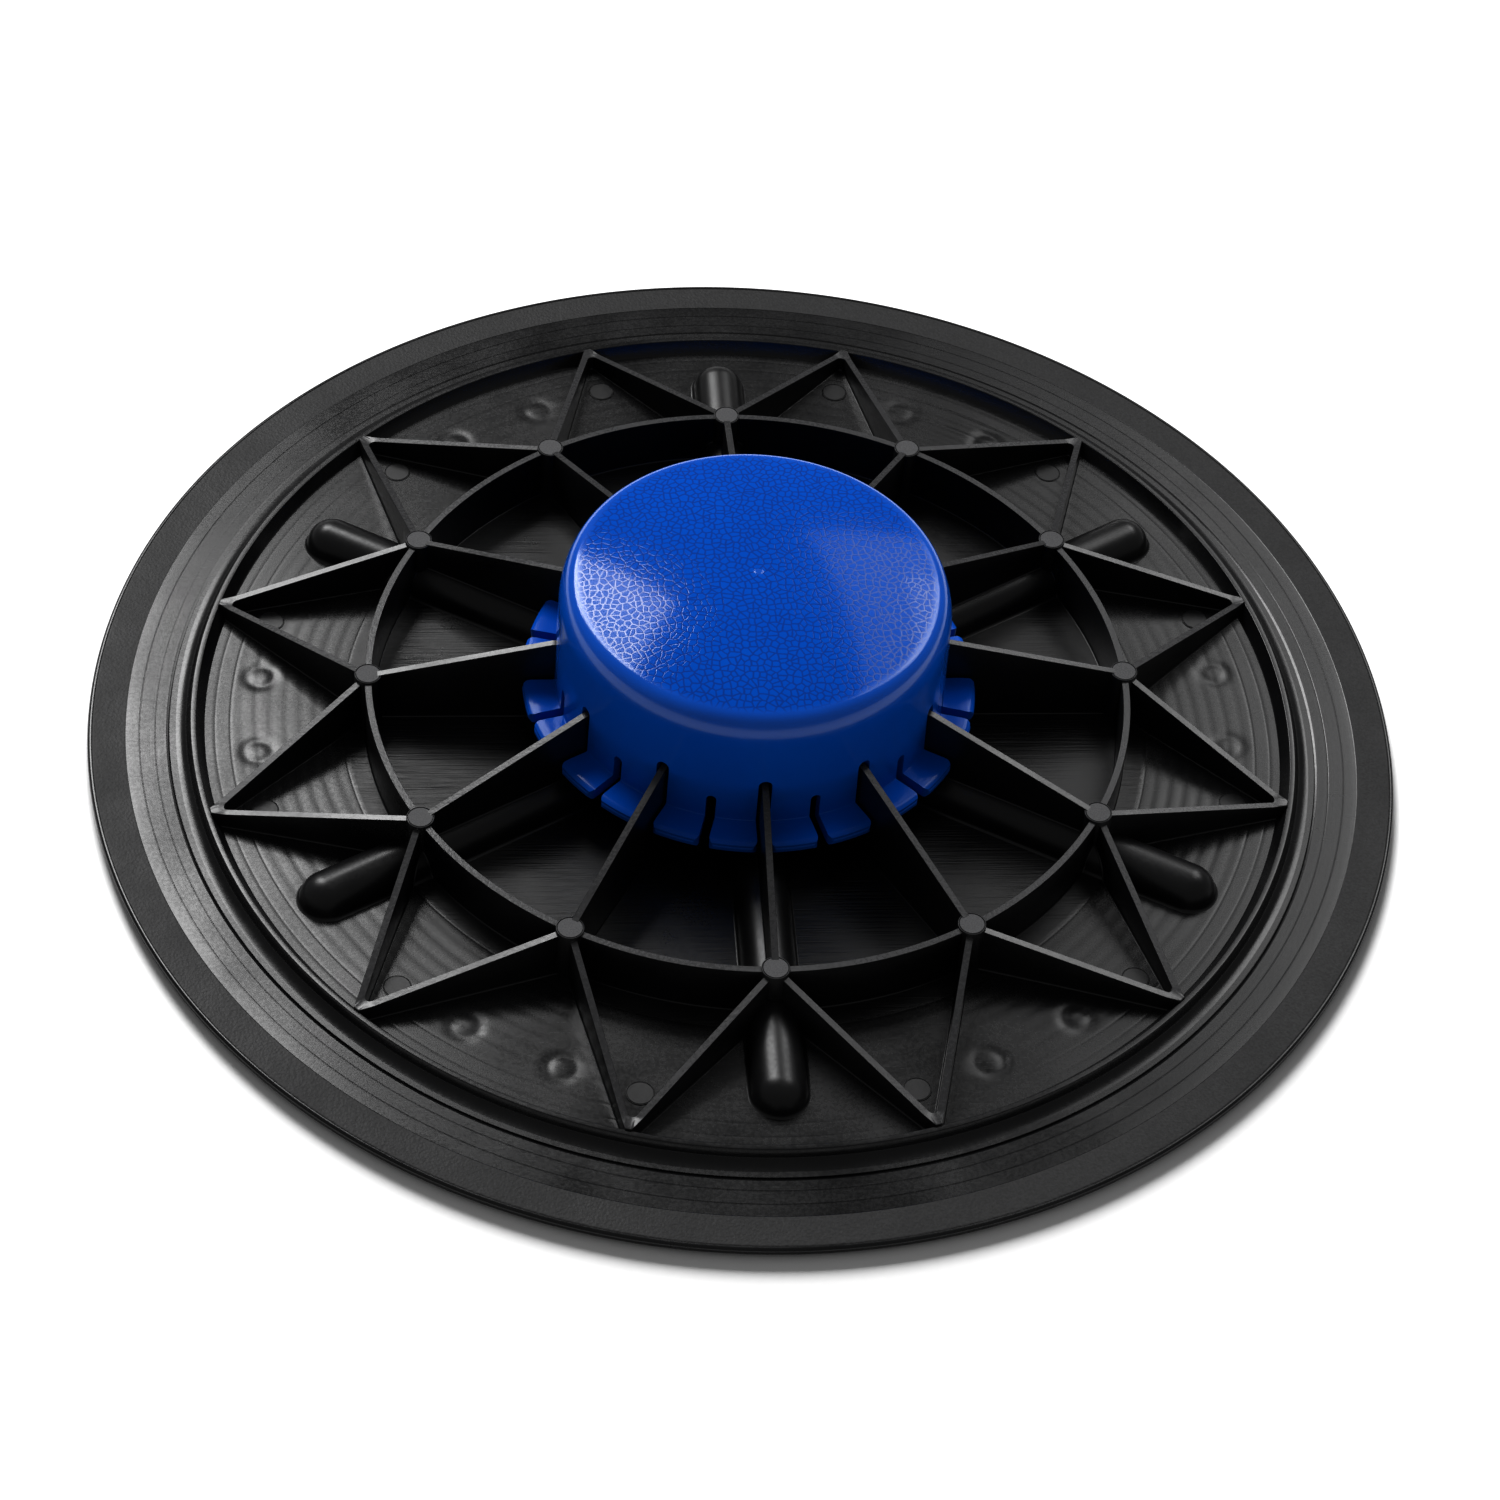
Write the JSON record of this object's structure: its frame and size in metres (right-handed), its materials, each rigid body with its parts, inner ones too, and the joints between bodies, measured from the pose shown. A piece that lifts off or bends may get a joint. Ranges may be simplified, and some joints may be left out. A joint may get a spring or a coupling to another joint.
{
  "type": "balance dome trainer",
  "caption": "Round rib-backed balance platform with a slotted lift-off dome that seats on its ribs and sets the tipping height.",
  "frame": {"origin": "centre of the standing face, at the foot of its grip pattern, on the plane that the part rests on", "axes": "+Z along the symmetry axis, out of the dome's crown; +X through a rib post without a foot channel"},
  "size_m": [0.3999, 0.4, 0.0639],
  "materials": {
    "platform_black": "satin moulded plastic with flow and sink marks",
    "rim_grained_black": "fine spark-eroded grain outside, satin inside",
    "dome_blue": "leather grain on the crown, glossy wall"
  },
  "bodies": {
    "platform": {"deck_disc": "platform_black", "rim_band": "rim_grained_black", "retaining_ridge": "platform_black", "ring_rib": "platform_black", "rib_posts": "platform_black", "hub_socket": "platform_black", "grip_ring_inner": "platform_black", "grip_ring_outer": "platform_black", "grip_arcs": "platform_black", "grip_nubs": "platform_black", "radial_rib_01": "platform_black", "radial_rib_02": "platform_black", "radial_rib_03": "platform_black", "radial_rib_04": "platform_black", "radial_rib_05": "platform_black", "radial_rib_06": "platform_black", "radial_rib_07": "platform_black", "radial_rib_08": "platform_black", "radial_rib_09": "platform_black", "radial_rib_10": "platform_black", "radial_rib_11": "platform_black", "radial_rib_12": "platform_black", "star_point_01": "platform_black", "star_point_02": "platform_black", "star_point_03": "platform_black", "star_point_04": "platform_black", "star_point_05": "platform_black", "star_point_06": "platform_black", "star_point_07": "platform_black", "star_point_08": "platform_black", "star_point_09": "platform_black", "star_point_10": "platform_black", "star_point_11": "platform_black", "star_point_12": "platform_black", "foot_channel_01": "platform_black", "foot_channel_02": "platform_black", "foot_channel_03": "platform_black", "foot_channel_04": "platform_black", "foot_channel_05": "platform_black", "foot_channel_06": "platform_black"},
    "dome": {"dome_crown": "dome_blue", "dome_wall": "dome_blue", "dome_spigot": "dome_blue", "dome_fingers_01": "dome_blue", "dome_fingers_02": "dome_blue", "dome_fingers_03": "dome_blue", "dome_fingers_04": "dome_blue", "dome_fingers_05": "dome_blue", "dome_fingers_06": "dome_blue", "dome_fingers_07": "dome_blue", "dome_fingers_08": "dome_blue", "dome_fingers_09": "dome_blue", "dome_fingers_10": "dome_blue", "dome_fingers_11": "dome_blue", "dome_fingers_12": "dome_blue"}
  },
  "joints": [
    {"name": "dome_lift", "type": "slide", "parent": "platform", "child": "dome", "axis": [0, 0, 1], "range_m": [0, 0.06]}
  ]
}
